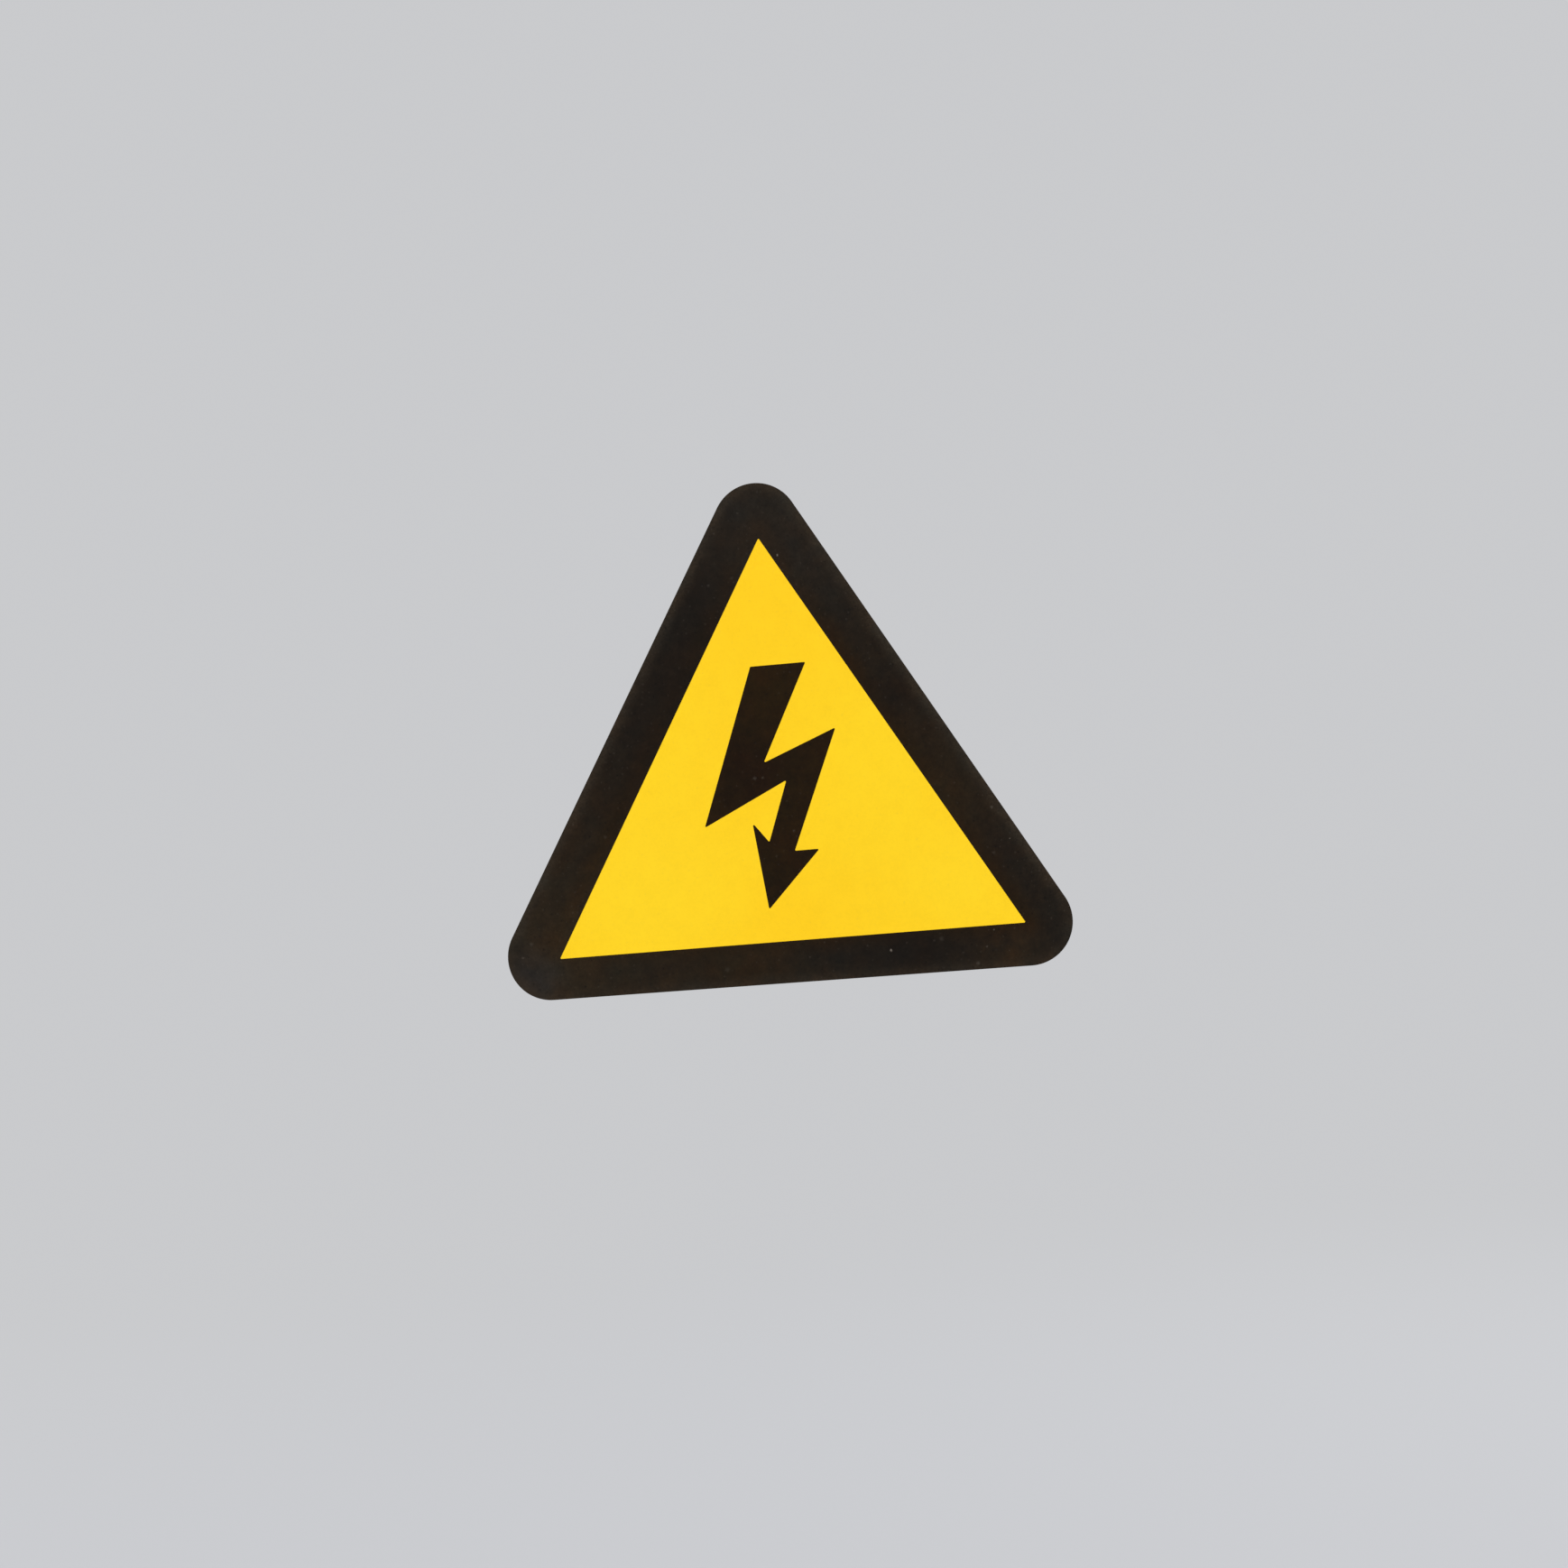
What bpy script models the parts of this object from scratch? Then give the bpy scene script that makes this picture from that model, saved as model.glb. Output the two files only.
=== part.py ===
"""High voltage warning sign: a die-cut vinyl label, printed with a black border and a black bolt.

The sign stands upright in the XZ plane and faces -Y. Its adhesive back lies in the plane y = 0, which is the
face it is fixed by, and the origin is the centre of that face. All sizes are in metres.
"""

import math

import bmesh
import bpy
from mathutils import Matrix, Vector

MM = 0.001

# Die-cut film: an equilateral triangle with rounded corners
LABEL_WIDTH = 100.0 * MM  # over the two lower corners, as they are rounded
LABEL_CORNER_RADIUS = 7.7 * MM
FILM_THICKNESS = 0.18 * MM  # vinyl with its adhesive

# Screen-printed ink on the front of the film
INK_THICKNESS = 0.02 * MM
INK_CORNER_RADIUS = 0.15 * MM
BORDER_WIDTH = 8.3 * MM

# The print doesn't quite meet the die cut: it is moved and turned a little on the film
PRINT_SHIFT_X = 0.48 * MM
PRINT_SHIFT_Z = -0.94 * MM
PRINT_TWIST = math.radians(0.27)

# Room round the bolt in the yellow triangle
BOLT_TOP_CLEARANCE = 22.64 * MM  # from the triangle's top corner down to the bolt's top edge
BOLT_TIP_CLEARANCE = 5.82 * MM  # from the arrow's tip down to the triangle's base

# Corners of the bolt as it is drawn, clockwise: x from the triangle's centre line, z up from the arrow's tip
BOLT_TOP_LEFT = (-3.28 * MM, 43.00 * MM)
BOLT_TOP_RIGHT = (6.52 * MM, 43.00 * MM)
BOLT_NOTCH = (-2.27 * MM, 25.83 * MM)
BOLT_RIGHT_POINT = (10.88 * MM, 31.02 * MM)
BOLT_SHAFT_RIGHT = (1.97 * MM, 9.93 * MM)
BOLT_BARB_RIGHT = (6.34 * MM, 9.94 * MM)
BOLT_TIP = (-3.35 * MM, 0.00 * MM)
BOLT_BARB_LEFT = (-5.09 * MM, 15.42 * MM)
BOLT_SHAFT_LEFT = (-2.38 * MM, 11.79 * MM)
BOLT_ELBOW = (1.50 * MM, 22.49 * MM)
BOLT_LEFT_POINT = (-13.61 * MM, 15.24 * MM)

# How far the straight runs of a rounded corner may cut inside its true arc
ARC_TOLERANCE = 0.004 * MM

YELLOW_VINYL = (254, 210, 38)
BORDER_INK = (36, 31, 24)
BOLT_INK = (36, 27, 17)

ROOT_3 = math.sqrt(3.0)
WELD_DISTANCE = 1e-7
SHARP_EDGE_ANGLE = math.radians(40)


def clear_scene():
    for thing in list(bpy.data.objects):
        bpy.data.objects.remove(thing, do_unlink=True)


def linear(channel):
    """A colour channel from 0 to 255, as Blender's materials take it."""
    share = channel / 255
    return share / 12.92 if share <= 0.04045 else ((share + 0.055) / 1.055) ** 2.4


def coating(name, colour, roughness):
    material = bpy.data.materials.new(name)
    material.use_nodes = True
    shader = material.node_tree.nodes["Principled BSDF"]
    shader.inputs["Base Color"].default_value = (*map(linear, colour), 1.0)
    shader.inputs["Roughness"].default_value = roughness
    shader.inputs["Metallic"].default_value = 0.0
    material.diffuse_color = (*map(linear, colour), 1.0)
    return material


def triangle(side):
    """Corners of an equilateral triangle about its centre, clockwise from the top."""
    inradius = side / (2 * ROOT_3)
    return [Vector((0, 2 * inradius)), Vector((side / 2, -inradius)), Vector((-side / 2, -inradius))]


def rounded(corners, radius):
    """The outline with an arc of this radius at every corner, inner corners too."""
    finest_step = 2 * math.acos(1 - ARC_TOLERANCE / radius)
    outline = []
    for before, corner, after in zip(corners[-1:] + corners[:-1], corners, corners[1:] + corners[:1]):
        to_before = (before - corner).normalized()
        to_after = (after - corner).normalized()
        half_angle = to_before.angle(to_after) / 2
        centre = corner + (to_before + to_after).normalized() * radius / math.sin(half_angle)
        arc_start = corner + to_before * radius / math.tan(half_angle) - centre
        arc_end = corner + to_after * radius / math.tan(half_angle) - centre
        clockwise_sweep = arc_start.angle_signed(arc_end)
        runs = math.ceil(abs(clockwise_sweep) / finest_step)
        for step in range(runs + 1):
            outline.append(centre + Matrix.Rotation(-clockwise_sweep * step / runs, 2) @ arc_start)
    return outline


def printed(points):
    """The points where the print puts them on the film."""
    shift = Vector((PRINT_SHIFT_X, PRINT_SHIFT_Z))
    return [Matrix.Rotation(PRINT_TWIST, 2) @ point + shift for point in points]


def label_outline(sharp_side):
    return rounded(triangle(sharp_side), LABEL_CORNER_RADIUS)


def window_outline(window_side):
    return rounded(printed(triangle(window_side)), INK_CORNER_RADIUS)


def bolt_outline(window_side):
    drawn = [
        BOLT_TOP_LEFT,
        BOLT_TOP_RIGHT,
        BOLT_NOTCH,
        BOLT_RIGHT_POINT,
        BOLT_SHAFT_RIGHT,
        BOLT_BARB_RIGHT,
        BOLT_TIP,
        BOLT_BARB_LEFT,
        BOLT_SHAFT_LEFT,
        BOLT_ELBOW,
        BOLT_LEFT_POINT,
    ]
    window_top = window_side / ROOT_3
    window_base = -window_side / (2 * ROOT_3)
    tip_height = window_base + BOLT_TIP_CLEARANCE
    bolt_height = window_top - BOLT_TOP_CLEARANCE - tip_height
    scale = bolt_height / (BOLT_TOP_LEFT[1] - BOLT_TIP[1])
    placed = [Vector((x * scale, z * scale + tip_height)) for x, z in drawn]
    return rounded(printed(placed), INK_CORNER_RADIUS)


def flat_mesh(name, outlines, thickness):
    """A sheet in the XZ plane, from y = 0 forward to -thickness. An outline inside another is a hole."""
    curve = bpy.data.curves.new(name, "CURVE")
    curve.dimensions = "2D"
    curve.fill_mode = "BOTH"
    curve.extrude = thickness / 2
    for outline in outlines:
        spline = curve.splines.new("POLY")
        spline.points.add(len(outline) - 1)
        for spline_point, (x, z) in zip(spline.points, outline):
            spline_point.co = (x, z, 0, 1)
        spline.use_cyclic_u = True
    guide = bpy.data.objects.new(name, curve)
    bpy.context.scene.collection.objects.link(guide)
    bpy.context.view_layer.update()
    mesh = bpy.data.meshes.new_from_object(guide.evaluated_get(bpy.context.evaluated_depsgraph_get()))
    bpy.data.objects.remove(guide)

    shape = bmesh.new()
    shape.from_mesh(mesh)
    bmesh.ops.remove_doubles(shape, verts=shape.verts, dist=WELD_DISTANCE)
    for vertex in shape.verts:
        x, z, depth = vertex.co
        vertex.co = (x, -thickness if depth > 0 else 0, z)
    bmesh.ops.recalc_face_normals(shape, faces=shape.faces)
    shape.to_mesh(mesh)
    shape.free()
    mesh.shade_smooth()
    mesh.set_sharp_from_angle(angle=SHARP_EDGE_ANGLE)
    return mesh


def add_piece(collection, name, outlines, thickness, material):
    piece = bpy.data.objects.new(name, flat_mesh(name, outlines, thickness))
    piece.data.materials.append(material)
    collection.objects.link(piece)
    return piece


def add_ink(collection, film, name, outlines, material):
    """Ink lies face to face on the film and moves with it."""
    ink = add_piece(collection, name, outlines, INK_THICKNESS, material)
    ink.parent = film
    ink.location.y = -FILM_THICKNESS
    return ink


def build_sign():
    sign = bpy.data.collections.new("high_voltage_warning_sign")
    bpy.context.scene.collection.children.link(sign)

    sharp_side = LABEL_WIDTH + 2 * (ROOT_3 - 1) * LABEL_CORNER_RADIUS
    window_side = sharp_side - 2 * ROOT_3 * BORDER_WIDTH
    die_cut = label_outline(sharp_side)
    window = window_outline(window_side)
    bolt = bolt_outline(window_side)

    vinyl = coating("yellow_vinyl", YELLOW_VINYL, 0.4)
    film = add_piece(sign, "vinyl_label", [die_cut], FILM_THICKNESS, vinyl)
    add_ink(sign, film, "black_border", [die_cut, window], coating("border_ink", BORDER_INK, 0.45))
    add_ink(sign, film, "lightning_bolt", [bolt], coating("bolt_ink", BOLT_INK, 0.45))


clear_scene()
build_sign()
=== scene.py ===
"""Looks of the high voltage warning sign: printed vinyl with worn, dusty ink, and its adhesive back.

The three CAD nodes keep their shapes, and each gets one procedural material. Patterns and marks are placed in
the sign's own plane, which is seen from the front with x to the right, z up and the origin at its centre.
"""

import math

import bmesh
import bpy
from mathutils import Matrix, Vector


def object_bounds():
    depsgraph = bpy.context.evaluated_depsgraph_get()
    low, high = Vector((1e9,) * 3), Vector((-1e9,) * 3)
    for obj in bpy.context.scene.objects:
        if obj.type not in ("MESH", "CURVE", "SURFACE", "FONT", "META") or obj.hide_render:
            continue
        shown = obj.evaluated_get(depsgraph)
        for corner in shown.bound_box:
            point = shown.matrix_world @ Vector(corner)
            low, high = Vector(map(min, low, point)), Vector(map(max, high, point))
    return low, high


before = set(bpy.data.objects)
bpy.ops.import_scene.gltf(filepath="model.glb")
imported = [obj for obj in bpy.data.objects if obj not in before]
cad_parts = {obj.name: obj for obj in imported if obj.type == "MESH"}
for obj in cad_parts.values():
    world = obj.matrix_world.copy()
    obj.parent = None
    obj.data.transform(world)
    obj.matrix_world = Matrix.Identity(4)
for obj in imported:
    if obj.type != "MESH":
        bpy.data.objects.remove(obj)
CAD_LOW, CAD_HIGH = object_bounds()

MM = 0.001
MICRON = 1e-6
ROOT_3 = math.sqrt(3.0)

# The die cut, from the frame: an equilateral triangle about the origin, with rounded corners
INRADIUS = -CAD_LOW[2]
CORNER_RADIUS = 2 * INRADIUS - CAD_HIGH[2]

# The photograph's camera
CAMERA_PLACE = Vector((0.03206, -0.38294, -0.01072))
CAMERA_AIM = Vector((0.00147, 0.0, 0.00289))
CAMERA_ROLL = math.radians(4.382)
LENS, SENSOR = 50.0, 36.0
CLIP_START = 0.01

# The world gives about half of the light, and the lamps bring a face towards -Y or +Y to the plain level, 1
BACKGROUND = (0.588, 0.594, 0.610)
LAMP_SIZE = 1.0
LAMPS = (
    # name, place, watts
    ("key_lamp", (-1.25, -1.00, 1.05), 18.6),
    ("fill_lamp", (1.35, -1.00, 0.15), 10.5),
    ("rear_key_lamp", (1.05, 1.20, 0.95), 18.6),
    ("rear_fill_lamp", (-1.35, 1.00, 0.10), 10.5),
)

# A round floor, some way below the sign
FLOOR_COLOUR = (0.47, 0.475, 0.49)
FLOOR_HEIGHT = -0.25
FLOOR_RADIUS = 3.0
FLOOR_SIDES = 96
FLOOR_FADE = (0.35, 1.1)  # how far out it starts to fade into the background, and where it has

# How ink and vinyl shine, and what their soft sheen under this light adds to each channel of what they show
INK_SPECULAR, INK_SHEEN = 0.10, 0.0058
VINYL_SPECULAR, VINYL_SHEEN = 0.25, 0.0146
DARKEST = 0.0004  # the least that a channel of a base colour is given

# Roughness, from where a surface is smoothest to where it is roughest
INK_ROUGHNESS = (0.34, 0.44)
VINYL_ROUGHNESS = (0.30, 0.38)
ADHESIVE_ROUGHNESS = (0.22, 0.32)
# What is added to it where the ink is rubbed, and where dirt lies
RUBBED_ROUGHNESS = 0.12
DIRT_ROUGHNESS = 0.30

# Tones as they show, from 0 to 255. Those in pairs are what a coating drifts between over the sign
YELLOW_TONES = ((254, 208, 39), (254, 211, 40))
ADHESIVE_TONES = ((240, 188, 44), (244, 194, 50))
BORDER_TONES = ((33, 29, 25), (38, 31, 24))
BOLT_TONES = ((35, 26, 16), (39, 29, 18))
INNER_BORDER = (40, 29, 16)
RUBBED_EDGE = (50, 43, 35)
RUST_STAIN = (56, 41, 26)
DIRT = (112, 104, 94)
BUBBLE = (250, 216, 110)
DEEP_INK = (29, 25, 22)
GREYED_INK = (41, 36, 31)
DUSTY_INK = (48, 39, 28)
ASHEN_INK = (45, 42, 40)
BROWNED_INK = (42, 33, 23)
PALE_BOLT = (40, 30, 18)
DEEP_BOLT = (33, 24, 14)
DEEP_YELLOW = (255, 205, 37)
PALE_YELLOW = (255, 214, 43)

# Noise in the coatings: the size of its features, a seed of its own, how much finer detail it holds, and how
# rough that makes it
DRIFT = dict(size=30 * MM, seed=2, detail=1)
INK_MOTTLING = dict(size=2.6 * MM, seed=5, detail=4, roughness=0.85)
INK_TINT = dict(size=5 * MM, seed=12, detail=2)
INK_GRAIN = dict(size=0.5 * MM, seed=13, detail=2)
INK_PEEL = dict(size=1 * MM, seed=3, detail=2)
INK_WEAR = dict(size=9 * MM, seed=8, detail=3)
RUBBED_GRAIN = dict(size=0.3 * MM, seed=11, detail=2)
VINYL_MOTTLING = dict(size=3 * MM, seed=4, detail=3)
VINYL_GRAIN = dict(size=0.5 * MM, seed=14, detail=2)
VINYL_PEEL = dict(size=1 * MM, seed=9, detail=2)
ADHESIVE_STREAKS = dict(size=1.2 * MM, seed=6, detail=3)
ADHESIVE_BLOTCHES = dict(size=16 * MM, seed=7, detail=2)
NOISE_RANGE = (0.3, 0.7)  # nearly all of a noise lies between these

# How much its mottling and grain lighten and darken a coating, and how much its mottling bends its drift
INK_MOTTLING_DEPTH, INK_GRAIN_DEPTH, INK_DRIFT_BEND = 0.26, 0.10, 0.4
VINYL_MOTTLING_DEPTH, VINYL_GRAIN_DEPTH, VINYL_DRIFT_BEND = 0.012, 0.017, 0.3
INK_TINT_DEPTH = 0.12  # how much warmer and cooler the ink is in places

# Heights of the orange peel that a coating sets with, and of dirt
PEEL_HEIGHT = 2.0 * MICRON
DIRT_HEIGHT = 6.0 * MICRON

# Where the border is rubbed, as depths from the die cut, and the power with which that fades inwards
RUBBED_BAND = (0.1 * MM, 3.2 * MM)
RUBBED_FADE = 2.0
# How strongly it is rubbed: from the least worn places to the most, and from grain to grain
RUBBED_BY_WEAR = (0.6, 1.0)
RUBBED_BY_GRAIN = (0.65, 1.35)
# Between these heights it goes from the lower edge's share of rubbing to the whole of it
LOWER_EDGE = (-30 * MM, -14 * MM)
RUBBED_BY_HEIGHT = (0.55, 1.0)
# Where the border turns brown towards the window, and how strongly
INNER_BAND = (4.0 * MM, 8.5 * MM)
INNER_STRENGTH = 0.85

# Stretches of another tone: x, z and radius in mm, and the tone. They were set and adjusted until the
# averages over areas of the render met those measured over the photograph
BORDER_PATCHES = (
    (-20, 18, 30, DEEP_INK),
    (-12, 38, 14, DEEP_INK),
    (22, -28, 14, DEEP_INK),
    (6, 48, 26, GREYED_INK),
    (22, 18, 8, DEEP_INK),
    (-40, -25, 28, DUSTY_INK),
    (-47, -29, 10, ASHEN_INK),
    (-8, -27, 18, BROWNED_INK),
    (30, -2, 14, BROWNED_INK),
)
BOLT_PATCHES = (
    (0, 20, 14, PALE_BOLT),
    (-5, 5, 9, DEEP_BOLT),
)
YELLOW_PATCHES = (
    (1, 38, 28, DEEP_YELLOW),
    (2, -22, 15, DEEP_YELLOW),
    (-26, -16, 26, PALE_YELLOW),
    (30, -17, 14, PALE_YELLOW),
)
# The border's patches show more where its ink is worn, and the others everywhere alike
PATCH_WEAR, WORN_PATCH_STRENGTH = (0.2, 0.7), (0.4, 0.8)
PATCH_STRENGTH = 0.7

# The rusty stain in the lower right corner: x, z and radius in mm, the wear it shows at, and how strongly
STAIN_PLACE = (39, -28, 9)
STAIN_WEAR, STAIN_STRENGTH = (0.42, 0.62), 0.5

# The larger grains of dirt, the plainest first: x, z and radius in mm, and how much of the ink each hides.
# These numbers weren't chosen by hand. Other programs found the places in the photograph and searched for the
# radii and strengths that match it, and most were then adjusted a little and rounded
BORDER_GRAINS = (
    (18, -27.7, 0.23, 1.0),
    (3.4, 43.4, 0.22, 0.85),
    (36.2, -25.4, 0.18, 0.6),
    (40.2, -9.7, 0.13, 0.5),
    (34.8, -28.2, 0.2, 0.27),
    (37.5, -4, 0.3, 0.2),
    (-47.3, -24.3, 0.25, 0.17),
    (33, -31, 0.4, 0.15),
    (-7.6, 48.2, 0.2, 0.15),
    (-9.3, 39, 0.25, 0.13),
    (-45.6, -22, 0.4, 0.12),
    (27, -26.3, 0.45, 0.1),
    (37.3, -12, 0.3, 0.1),
    (14, -26.6, 0.25, 0.1),
    (-31, -4, 0.35, 0.08),
    (-5, 40, 0.35, 0.08),
    (-11, -29, 0.5, 0.07),
)
BOLT_GRAINS = (
    (-2.2, 4.3, 0.25, 0.17),
    (-3.6, 4.3, 0.35, 0.15),
    (2.6, -5.5, 0.25, 0.15),
)
# The shares of its radius up to which a grain is solid, and at which it ends
GRAIN_EDGE = (0.2, 1.3)
# A noise of this size gives grains, dust and dark specks ragged outlines, moving them by up to half this
# reach
SHAKE_SIZE = 0.3 * MM
SHAKE_REACH = 1.5 * SHAKE_SIZE

# Fine dust all over, darker specks in the ink, and bubbles in the adhesive. The share is of the places that
# hold one, and the core is the share of its radius up to which it has its full strength
DUST = dict(spacing=1.2 * MM, radius=0.26 * MM, share=0.7, core=0.2)
DARK_SPECKS = dict(spacing=1.2 * MM, radius=0.30 * MM, share=0.7, core=0.2)
BUBBLES = dict(spacing=2.6 * MM, radius=0.35 * MM, share=0.3, core=0.8)
SCATTER = 0.9  # how far from a regular grid their places are, from 0 to 1
DARK_SPECK_OFFSET = (0.5, 0.3, 0.0)  # gives the dark specks other places than the dust
# How much dust hides of the ink and of the film, how much darker a dark speck makes the ink, and how strongly
# a bubble shows
INK_DUST, VINYL_DUST = 0.090, 0.065
DARK_SPECK_DEPTH = 0.50
BUBBLE_STRENGTH = 0.5

# Between these places along y, the yellow of the film's edge passes into the look of the adhesive
ADHESIVE_FACE = (-0.030 * MM, -0.020 * MM)
STREAK_STRETCH = 20  # how many times as long as wide the adhesive's streaks are
STREAK_SHARE, BLOTCH_SHARE = 0.2, 0.8  # what streaks and blotches are of its unevenness
UNEVEN_RANGE = (0.35, 0.65)  # nearly all of that unevenness lies between these


def linear(channel):
    """A colour channel written from 0 to 255, as Blender's nodes take it."""
    share = channel / 255
    return share / 12.92 if share <= 0.04045 else ((share + 0.055) / 1.055) ** 2.4


def seen(rgb, sheen):
    """The base colour that shows as rgb once the sheen is added to it."""
    return (*[max(linear(channel) - sheen, DARKEST) for channel in rgb], 1.0)


class Painter:
    """Adds nodes to one material. Places and sizes are in metres, in the row frame, unless mm are named."""

    def __init__(self, name):
        self.material = bpy.data.materials.new(name)
        self.material.use_nodes = True
        self.tree = self.material.node_tree
        self.shader = self.tree.nodes["Principled BSDF"]
        self.place = self.add("ShaderNodeTexCoord").outputs["Object"]
        axes = self.add("ShaderNodeSeparateXYZ", [("Vector", self.place)]).outputs
        self.depth, self.height = axes["Y"], axes["Z"]
        self.flat = self.add("ShaderNodeCombineXYZ", [("X", axes["X"]), ("Y", axes["Z"])]).outputs[0]

    def add(self, kind, inputs=(), **settings):
        """A new node with these settings, and these values or links at its inputs."""
        made = self.tree.nodes.new(kind)
        for name, value in settings.items():
            setattr(made, name, value)
        for socket, value in inputs:
            self.feed(made.inputs[socket], value)
        return made

    def feed(self, socket, value):
        """Links an input to a socket, or sets it to a value."""
        if isinstance(value, bpy.types.NodeSocket):
            self.tree.links.new(value, socket)
        else:
            socket.default_value = value

    def maths(self, operation, *values):
        return self.add("ShaderNodeMath", enumerate(values), operation=operation).outputs[0]

    def product(self, first, *others):
        for other in others:
            first = self.maths("MULTIPLY", first, other)
        return first

    def vector(self, operation, *values, output="Vector"):
        return self.add("ShaderNodeVectorMath", enumerate(values), operation=operation).outputs[output]

    def scaled(self, vector, factor):
        inputs = [(0, vector), ("Scale", factor)]
        return self.add("ShaderNodeVectorMath", inputs, operation="SCALE").outputs[0]

    def noise(self, size, seed, detail, roughness=0.5, place=None):
        """A soft pattern from 0 to 1, of features about this size."""
        inputs = [("Vector", place or self.place), ("W", seed), ("Scale", 1 / size)]
        inputs += [("Detail", detail), ("Roughness", roughness)]
        return self.add("ShaderNodeTexNoise", inputs, noise_dimensions="4D").outputs["Fac"]

    def ramp(self, value, low, high, at_low=0.0, at_high=1.0, smooth=True):
        """at_low where value is low or less, at_high where it is high or more, and a ramp in between."""
        inputs = [("Value", value), ("From Min", low), ("From Max", high)]
        inputs += [("To Min", at_low), ("To Max", at_high)]
        kind = "SMOOTHSTEP" if smooth else "LINEAR"
        return self.add("ShaderNodeMapRange", inputs, interpolation_type=kind, clamp=True).outputs["Result"]

    def blend(self, share, first, second):
        """The first colour with this share of the second. A Mix node's colours are its inputs 6 and 7."""
        inputs = [("Factor", share), (6, first), (7, second)]
        return self.add("ShaderNodeMix", inputs, data_type="RGBA", clamp_factor=True).outputs[2]

    def tones(self, pattern, pair, sheen):
        """A colour that goes from one of a pair of tones to the other by a pattern."""
        return self.blend(self.ramp(pattern, *NOISE_RANGE), *[seen(tone, sheen) for tone in pair])

    def drift(self, mottling, bend):
        """A slow pattern over the whole sign, bent a little by its mottling."""
        bent = self.product(self.maths("SUBTRACT", mottling, 0.5), bend)
        return self.maths("ADD", self.noise(**DRIFT), bent)

    def mottled(self, colour, pattern, depth):
        """The colour made up to this share lighter and darker by a pattern."""
        return self.scaled(colour, self.ramp(pattern, *NOISE_RANGE, 1 - depth, 1 + depth, smooth=False))

    def tinted(self, colour, pattern, depth):
        """The colour made up to this share warmer and cooler by a pattern."""
        warmth = self.ramp(pattern, *NOISE_RANGE, 1 - depth, 1 + depth, smooth=False)
        coolness = self.maths("SUBTRACT", 2.0, warmth)
        tint = self.add("ShaderNodeCombineXYZ", [("X", warmth), ("Y", 1.0), ("Z", coolness)]).outputs[0]
        return self.vector("MULTIPLY", colour, tint)

    def distance(self, x, z, place=None):
        """How far a place in the sign's plane is from this point, which is given in mm."""
        return self.vector("DISTANCE", place or self.flat, (x * MM, z * MM, 0), output="Value")

    def patch(self, x, z, radius):
        """1 at this point of the sign's plane, falling softly to 0 at this radius, all in mm."""
        return self.ramp(self.distance(x, z), 0.0, radius * MM, 1.0, 0.0)

    def patched(self, colour, patches, strength, sheen):
        """The colour with patches of other tones laid on it, each at this strength."""
        for x, z, radius, tone in patches:
            cover = self.product(self.patch(x, z, radius), strength)
            colour = self.blend(cover, colour, seen(tone, sheen))
        return colour

    def ragged(self):
        """The sign's plane, shaken a little, so that what is round in it gets a ragged outline."""
        inputs = [("Vector", self.place), ("Scale", 1 / SHAKE_SIZE), ("Detail", 1.0)]
        shake = self.add("ShaderNodeTexNoise", inputs).outputs["Color"]
        sideways = self.vector("SUBTRACT", shake, (0.5, 0.5, 0.5))
        return self.vector("ADD", self.flat, self.scaled(sideways, SHAKE_REACH))

    def grains(self, marks, place):
        """The cover of the grains of dirt at these marks."""
        solid, end = GRAIN_EDGE
        cover = 0.0
        for x, z, radius, strength in marks:
            away = self.distance(x, z, place)
            grain = self.ramp(away, solid * radius * MM, end * radius * MM, strength, 0.0)
            cover = self.maths("MAXIMUM", cover, grain)
        return cover

    def dots(self, spacing, radius, share, core, place=None):
        """Round dots of many sizes up to this radius, in this share of the cells of this spacing."""
        inputs = [("Vector", place or self.flat), ("Scale", 1 / spacing), ("Randomness", SCATTER)]
        cells = self.add("ShaderNodeTexVoronoi", inputs, voronoi_dimensions="2D").outputs
        chance, size, strength = self.add("ShaderNodeSeparateColor", [("Color", cells["Color"])]).outputs
        reach = self.product(size, radius / spacing)
        inside = self.ramp(cells["Distance"], self.product(reach, core), reach, 1.0, 0.0)
        return self.product(inside, strength, self.maths("LESS_THAN", chance, share))

    def segment_distance(self, start, end):
        """How far a place is from the line between two points of the sign's plane."""
        along = (end - start).normalized()
        from_start = self.vector("SUBTRACT", self.flat, start)
        reach = self.vector("DOT_PRODUCT", from_start, along, output="Value")
        reach = self.add("ShaderNodeClamp", [("Value", reach), ("Max", (end - start).length)]).outputs[0]
        return self.vector("DISTANCE", from_start, self.scaled(along, reach), output="Value")

    def depth_from_cut(self):
        """How far inside the die cut a place on the border is.

        It is measured from the smaller triangle on whose corners the die cut's corners are centred.
        """
        inner = INRADIUS - CORNER_RADIUS
        centres = [Vector((x * inner, z * inner, 0)) for x, z in ((0, 2), (ROOT_3, -1), (-ROOT_3, -1))]
        sides = [self.segment_distance(centres[i], centres[i - 1]) for i in range(3)]
        nearest = self.maths("MINIMUM", self.maths("MINIMUM", sides[0], sides[1]), sides[2])
        return self.maths("SUBTRACT", CORNER_RADIUS, nearest)

    def relief(self, *layers):
        """Bumps from (height from 0 to 1, metres high) pairs, laid over one another."""
        normal = None
        for height, metres in layers:
            bump = self.add("ShaderNodeBump", [("Height", height), ("Distance", metres), ("Strength", 1.0)])
            if normal:
                self.feed(bump.inputs["Normal"], normal)
            normal = bump.outputs["Normal"]
        self.feed(self.shader.inputs["Normal"], normal)

    def finish(self, colour, roughness, specular):
        self.feed(self.shader.inputs["Base Color"], colour)
        self.feed(self.shader.inputs["Roughness"], roughness)
        self.shader.inputs["Specular IOR Level"].default_value = specular
        return self.material


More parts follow.
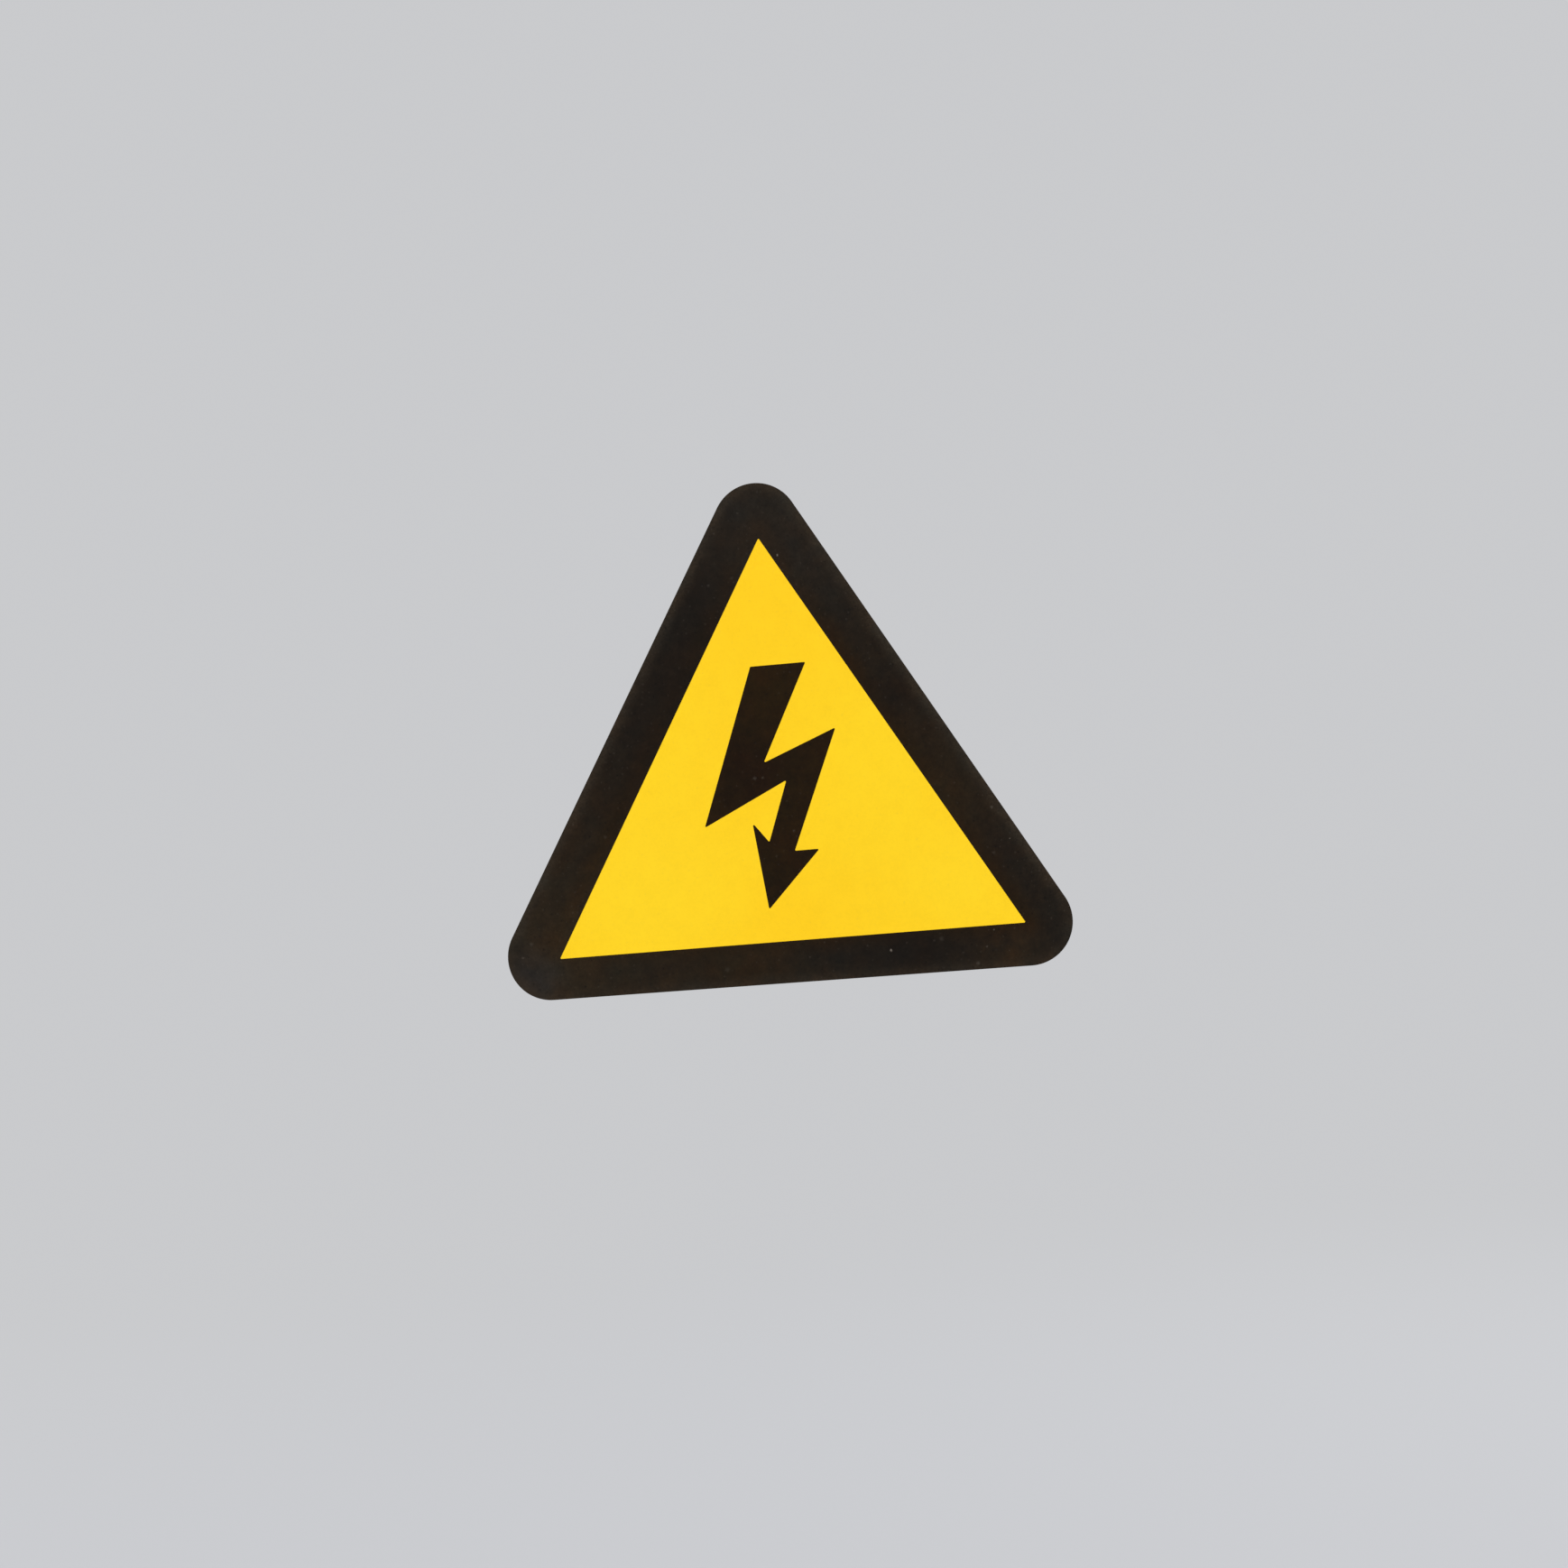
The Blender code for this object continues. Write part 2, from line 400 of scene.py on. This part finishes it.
def print_coat(painter, pair):
    """Screen-printed ink that drifts between two blacks over the sign: mottling, colour and roughness."""
    mottling = painter.noise(**INK_MOTTLING)
    colour = painter.tones(painter.drift(mottling, INK_DRIFT_BEND), pair, INK_SHEEN)
    return mottling, colour, painter.ramp(mottling, *NOISE_RANGE, *INK_ROUGHNESS, smooth=False)


def dirty_ink(painter, mottling, colour, roughness, marks):
    """The ink with its mottling, tint, grain and darker specks, under dirt and dust that stand up a little.
    """
    colour = painter.mottled(colour, mottling, INK_MOTTLING_DEPTH)
    colour = painter.tinted(colour, painter.noise(**INK_TINT), INK_TINT_DEPTH)
    colour = painter.mottled(colour, painter.noise(**INK_GRAIN), INK_GRAIN_DEPTH)
    ragged = painter.ragged()
    # Small specks where the ink is made darker, in other places than the dust
    dark_specks = painter.dots(**DARK_SPECKS, place=painter.vector("ADD", ragged, DARK_SPECK_OFFSET))
    colour = painter.scaled(colour, painter.ramp(dark_specks, 0.0, 1.0, 1.0, 1 - DARK_SPECK_DEPTH, smooth=False))
    dust = painter.product(painter.dots(**DUST, place=ragged), INK_DUST)
    dirt = painter.maths("MAXIMUM", painter.grains(marks, ragged), dust)
    colour = painter.blend(dirt, colour, seen(DIRT, INK_SHEEN))
    roughness = painter.maths("ADD", roughness, painter.product(dirt, DIRT_ROUGHNESS))
    painter.relief((painter.noise(**INK_PEEL), PEEL_HEIGHT), (dirt, DIRT_HEIGHT))
    return painter.finish(colour, roughness, INK_SPECULAR)


def border_ink():
    """The border is brown by its window, rubbed along the die cut, and deeper, paler or stained in places."""
    painter = Painter("border_ink_print")
    mottling, colour, roughness = print_coat(painter, BORDER_TONES)
    depth = painter.depth_from_cut()
    wear = painter.noise(**INK_WEAR)

    inner = painter.ramp(depth, *INNER_BAND, 0.0, INNER_STRENGTH)
    colour = painter.blend(inner, colour, seen(INNER_BORDER, INK_SHEEN))
    patch_strength = painter.ramp(wear, *PATCH_WEAR, *WORN_PATCH_STRENGTH)
    colour = painter.patched(colour, BORDER_PATCHES, patch_strength, INK_SHEEN)
    rubbed = painter.product(
        painter.maths("POWER", painter.ramp(depth, *RUBBED_BAND, 1.0, 0.0), RUBBED_FADE),
        painter.ramp(wear, *NOISE_RANGE, *RUBBED_BY_WEAR),
        painter.ramp(painter.noise(**RUBBED_GRAIN), *NOISE_RANGE, *RUBBED_BY_GRAIN),
        painter.ramp(painter.height, *LOWER_EDGE, *RUBBED_BY_HEIGHT),
    )
    colour = painter.blend(rubbed, colour, seen(RUBBED_EDGE, INK_SHEEN))
    stain_strength = painter.ramp(wear, *STAIN_WEAR, 0.0, STAIN_STRENGTH)
    stain = painter.product(painter.patch(*STAIN_PLACE), stain_strength)
    colour = painter.blend(stain, colour, seen(RUST_STAIN, INK_SHEEN))
    roughness = painter.maths("ADD", roughness, painter.product(rubbed, RUBBED_ROUGHNESS))
    return dirty_ink(painter, mottling, colour, roughness, BORDER_GRAINS)


def bolt_ink():
    """The bolt is browner than the border and isn't rubbed."""
    painter = Painter("bolt_ink_print")
    mottling, colour, roughness = print_coat(painter, BOLT_TONES)
    colour = painter.patched(colour, BOLT_PATCHES, PATCH_STRENGTH, INK_SHEEN)
    return dirty_ink(painter, mottling, colour, roughness, BOLT_GRAINS)


def film_front(painter):
    """The dusty yellow front of the film: its colour and roughness."""
    mottling = painter.noise(**VINYL_MOTTLING)
    colour = painter.tones(painter.drift(mottling, VINYL_DRIFT_BEND), YELLOW_TONES, VINYL_SHEEN)
    colour = painter.patched(colour, YELLOW_PATCHES, PATCH_STRENGTH, VINYL_SHEEN)
    colour = painter.mottled(colour, mottling, VINYL_MOTTLING_DEPTH)
    colour = painter.mottled(colour, painter.noise(**VINYL_GRAIN), VINYL_GRAIN_DEPTH)
    dust = painter.product(painter.dots(**DUST, place=painter.ragged()), VINYL_DUST)
    colour = painter.blend(dust, colour, seen(DIRT, VINYL_SHEEN))
    return colour, painter.ramp(mottling, *NOISE_RANGE, *VINYL_ROUGHNESS, smooth=False)


def adhesive_back(painter):
    """The clear adhesive, with streaks from its coating, blotches and small bubbles.

    Returns its colour, its roughness and the height of what stands up in it.
    """
    along = painter.vector("MULTIPLY", painter.place, (1 / STREAK_STRETCH, 1.0, 1.0))
    streaks = painter.noise(**ADHESIVE_STREAKS, place=along)
    blotches = painter.noise(**ADHESIVE_BLOTCHES)
    uneven = painter.maths(
        "ADD", painter.product(streaks, STREAK_SHARE), painter.product(blotches, BLOTCH_SHARE)
    )
    bubbles = painter.dots(**BUBBLES)
    colour = painter.tones(uneven, ADHESIVE_TONES, VINYL_SHEEN)
    colour = painter.blend(painter.product(bubbles, BUBBLE_STRENGTH), colour, seen(BUBBLE, VINYL_SHEEN))
    roughness = painter.ramp(uneven, *UNEVEN_RANGE, *ADHESIVE_ROUGHNESS, smooth=False)
    return colour, roughness, painter.maths("ADD", streaks, bubbles)


def vinyl():
    """The film is yellow on its front and edge, and shows darker through the clear adhesive on its back."""
    painter = Painter("yellow_vinyl_film")
    front, front_roughness = film_front(painter)
    back, back_roughness, tack = adhesive_back(painter)
    adhesive = painter.ramp(painter.depth, *ADHESIVE_FACE)
    step = painter.maths("SUBTRACT", back_roughness, front_roughness)
    roughness = painter.maths("ADD", front_roughness, painter.product(step, adhesive))
    peel = painter.noise(**VINYL_PEEL)
    painter.relief((peel, PEEL_HEIGHT), (painter.product(tack, adhesive), PEEL_HEIGHT))
    return painter.finish(painter.blend(adhesive, front, back), roughness, VINYL_SPECULAR)


def floor_material():
    """A pale floor that takes the sign's shadow and fades into the background further off."""
    painter = Painter("pale_floor")
    across = painter.vector("MULTIPLY", painter.place, (1, 1, 0))
    away = painter.ramp(painter.vector("LENGTH", across, output="Value"), *FLOOR_FADE)
    rays = painter.add("ShaderNodeLightPath").outputs
    looked_at = painter.maths("MAXIMUM", rays["Is Camera Ray"], rays["Is Glossy Ray"])
    looked_at = painter.maths("MAXIMUM", looked_at, rays["Is Transmission Ray"])
    painter.finish((*FLOOR_COLOUR, 1.0), roughness=1.0, specular=0.0)
    far = painter.add("ShaderNodeEmission", [("Color", (*BACKGROUND, 1.0)), ("Strength", 1.0)]).outputs[0]
    inputs = [(0, painter.product(away, looked_at)), (1, painter.shader.outputs[0]), (2, far)]
    mixed = painter.add("ShaderNodeMixShader", inputs).outputs[0]
    painter.feed(painter.tree.nodes["Material Output"].inputs["Surface"], mixed)
    return painter.material


def lay_floor():
    shape = bmesh.new()
    bmesh.ops.create_circle(shape, cap_ends=True, segments=FLOOR_SIDES, radius=FLOOR_RADIUS)
    mesh = bpy.data.meshes.new("floor")
    shape.to_mesh(mesh)
    shape.free()
    floor = bpy.data.objects.new("floor", mesh)
    bpy.context.scene.collection.objects.link(floor)
    floor.location.z = FLOOR_HEIGHT
    mesh.materials.append(floor_material())


def light_scene():
    """A pale world and soft disk lamps, which face the origin and don't show to the camera."""
    world = bpy.data.worlds.new("studio")
    world.use_nodes = True
    world.node_tree.nodes["Background"].inputs["Color"].default_value = (*BACKGROUND, 1.0)
    bpy.context.scene.world = world
    for name, place, watts in LAMPS:
        light = bpy.data.lights.new(name, "AREA")
        light.shape = "DISK"
        light.size = LAMP_SIZE
        light.energy = watts
        lamp = bpy.data.objects.new(name, light)
        bpy.context.scene.collection.objects.link(lamp)
        lamp.location = place
        lamp.rotation_euler = (-Vector(place)).to_track_quat("-Z", "Y").to_euler()
        lamp.visible_camera = False


def place_camera():
    camera = bpy.data.objects.new("camera", bpy.data.cameras.new("camera"))
    camera.data.lens, camera.data.sensor_width = LENS, SENSOR
    camera.data.clip_start = CLIP_START
    aim = (CAMERA_AIM - CAMERA_PLACE).to_track_quat("-Z", "Y").to_matrix()
    turned = aim @ Matrix.Rotation(-CAMERA_ROLL, 3, "Z")
    camera.matrix_world = Matrix.Translation(CAMERA_PLACE) @ turned.to_4x4()
    bpy.context.scene.collection.objects.link(camera)
    bpy.context.scene.camera = camera


def dress(node, material):
    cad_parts[node].material_slots[0].material = material


dress("vinyl_label", vinyl())
dress("black_border", border_ink())
dress("lightning_bolt", bolt_ink())

lay_floor()
light_scene()
place_camera()
bpy.context.scene.view_settings.view_transform = "Standard"
